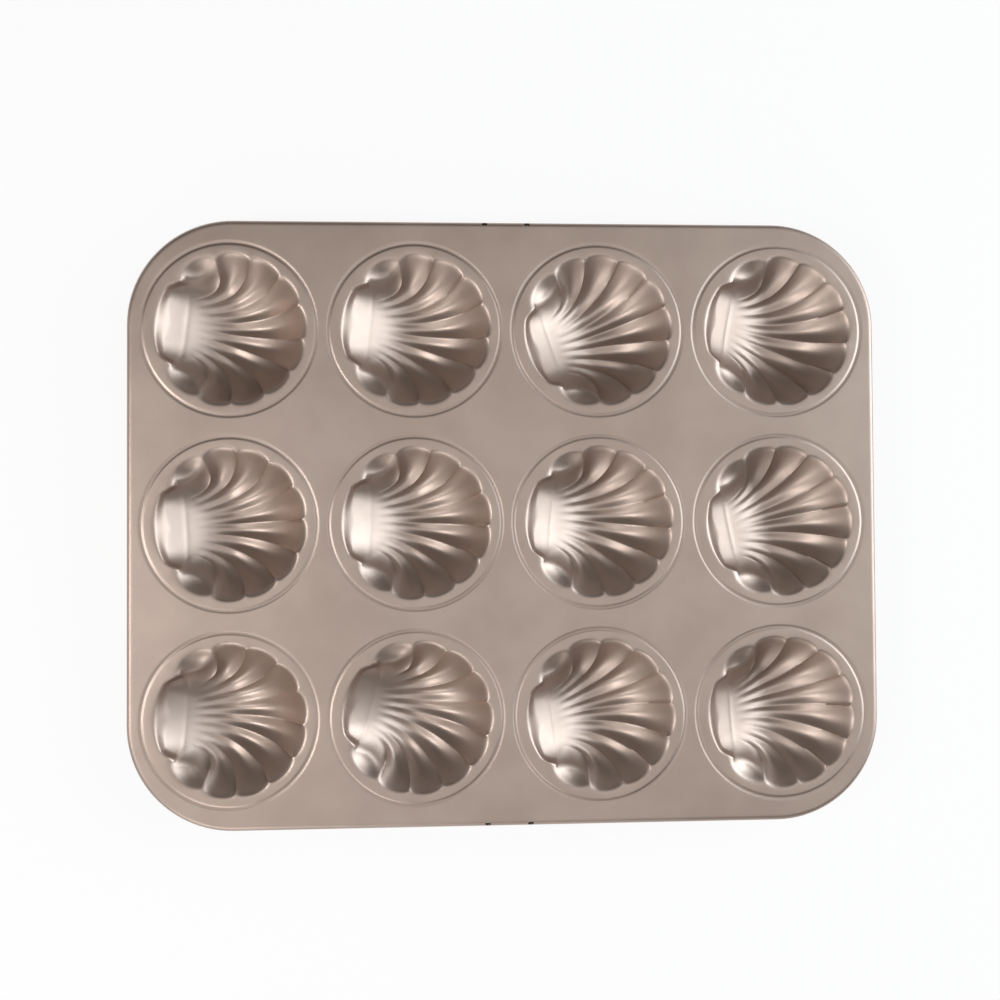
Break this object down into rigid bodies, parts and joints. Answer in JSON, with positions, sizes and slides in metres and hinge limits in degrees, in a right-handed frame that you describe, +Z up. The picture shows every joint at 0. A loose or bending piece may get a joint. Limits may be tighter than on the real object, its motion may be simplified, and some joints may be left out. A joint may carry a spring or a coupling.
{
  "type": "cake mould",
  "caption": "Rectangular cake mould: fluted scallop-shell cups, each with a round flange, seamed into a flat coated-steel plate with rounded corners and a wired, rolled rim.",
  "frame": {"origin": "under the middle of the pan, on the surface that the cups stand on", "axes": "+X along the long side, with the shells' fans opening towards +X; +Y along the short side; +Z up, out of the cups' mouths"},
  "size_m": [0.352, 0.283, 0.0207],
  "materials": {
    "plate_coating": "satin champagne non-stick coating on carbon steel sheet",
    "cup_coating": "satin champagne non-stick coating on pressed carbon steel",
    "wire_steel": "drawn steel wire"
  },
  "bodies": {
    "root": {"top_plate": "plate_coating", "rim_wire": "wire_steel", "shell_cup_r1c1": "cup_coating", "shell_cup_r1c2": "cup_coating", "shell_cup_r1c3": "cup_coating", "shell_cup_r1c4": "cup_coating", "shell_cup_r2c1": "cup_coating", "shell_cup_r2c2": "cup_coating", "shell_cup_r2c3": "cup_coating", "shell_cup_r2c4": "cup_coating", "shell_cup_r3c1": "cup_coating", "shell_cup_r3c2": "cup_coating", "shell_cup_r3c3": "cup_coating", "shell_cup_r3c4": "cup_coating"}
  },
  "joints": []
}
